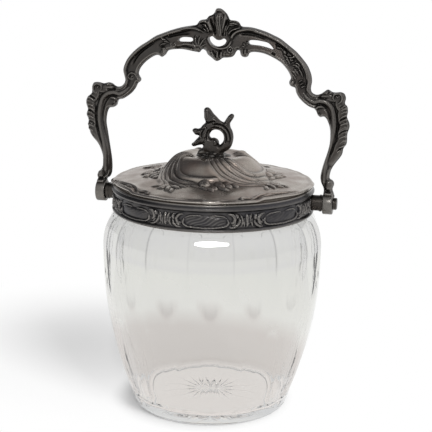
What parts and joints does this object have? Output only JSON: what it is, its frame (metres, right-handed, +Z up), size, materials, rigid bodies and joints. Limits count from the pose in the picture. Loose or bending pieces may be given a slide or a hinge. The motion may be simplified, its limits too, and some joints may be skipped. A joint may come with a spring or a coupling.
{
  "type": "biscuit jar",
  "caption": "Cut glass biscuit jar with an embossed metal collar, a loose domed lid with a scroll finial, and an ornate swing bail handle.",
  "frame": {"origin": "centre of the foot, on the plane that the jar stands on", "axes": "+Z up; the bail's two pivots lie on a line parallel to X; -Y is the front, and the upright bail leans a little towards +Y"},
  "size_m": [0.1698, 0.14, 0.2541],
  "materials": {
    "cut_glass": "clear polished glass with shallow cut flutes",
    "plaster": "matt plaster bedding",
    "collar_plate": "tarnished silver plate, dark in the hollows",
    "cast_plate": "tarnished silver plate on a white metal casting",
    "lid_plate": "satin, brownish tarnished silver plate",
    "bezel_plate": "satin silver plate",
    "washer_metal": "dull bright metal",
    "brass_fixings": "dull brass"
  },
  "bodies": {
    "jar": {"glass_jar": "cut_glass", "plaster_bed": "plaster", "collar_band": "collar_plate", "left_trunnion": "cast_plate", "right_trunnion": "cast_plate", "left_washer": "washer_metal", "right_washer": "washer_metal", "left_rivet": "cast_plate", "right_screw": "cast_plate"},
    "bail": {"bail_handle": "cast_plate"},
    "lid": {"lid_shell": "lid_plate", "lid_bezel": "bezel_plate", "finial": "cast_plate", "finial_stud": "brass_fixings", "finial_washer": "brass_fixings", "finial_nut": "brass_fixings"}
  },
  "joints": [
    {"name": "bail_swing", "type": "hinge", "parent": "jar", "child": "bail", "pos_m": [0, 0, 0.1356], "axis": [1, 0, 0], "range_deg": [-116, 124]},
    {"name": "lid_lift", "type": "slide", "parent": "jar", "child": "lid", "axis": [0, 0, 1], "range_m": [0, 0.026]}
  ]
}
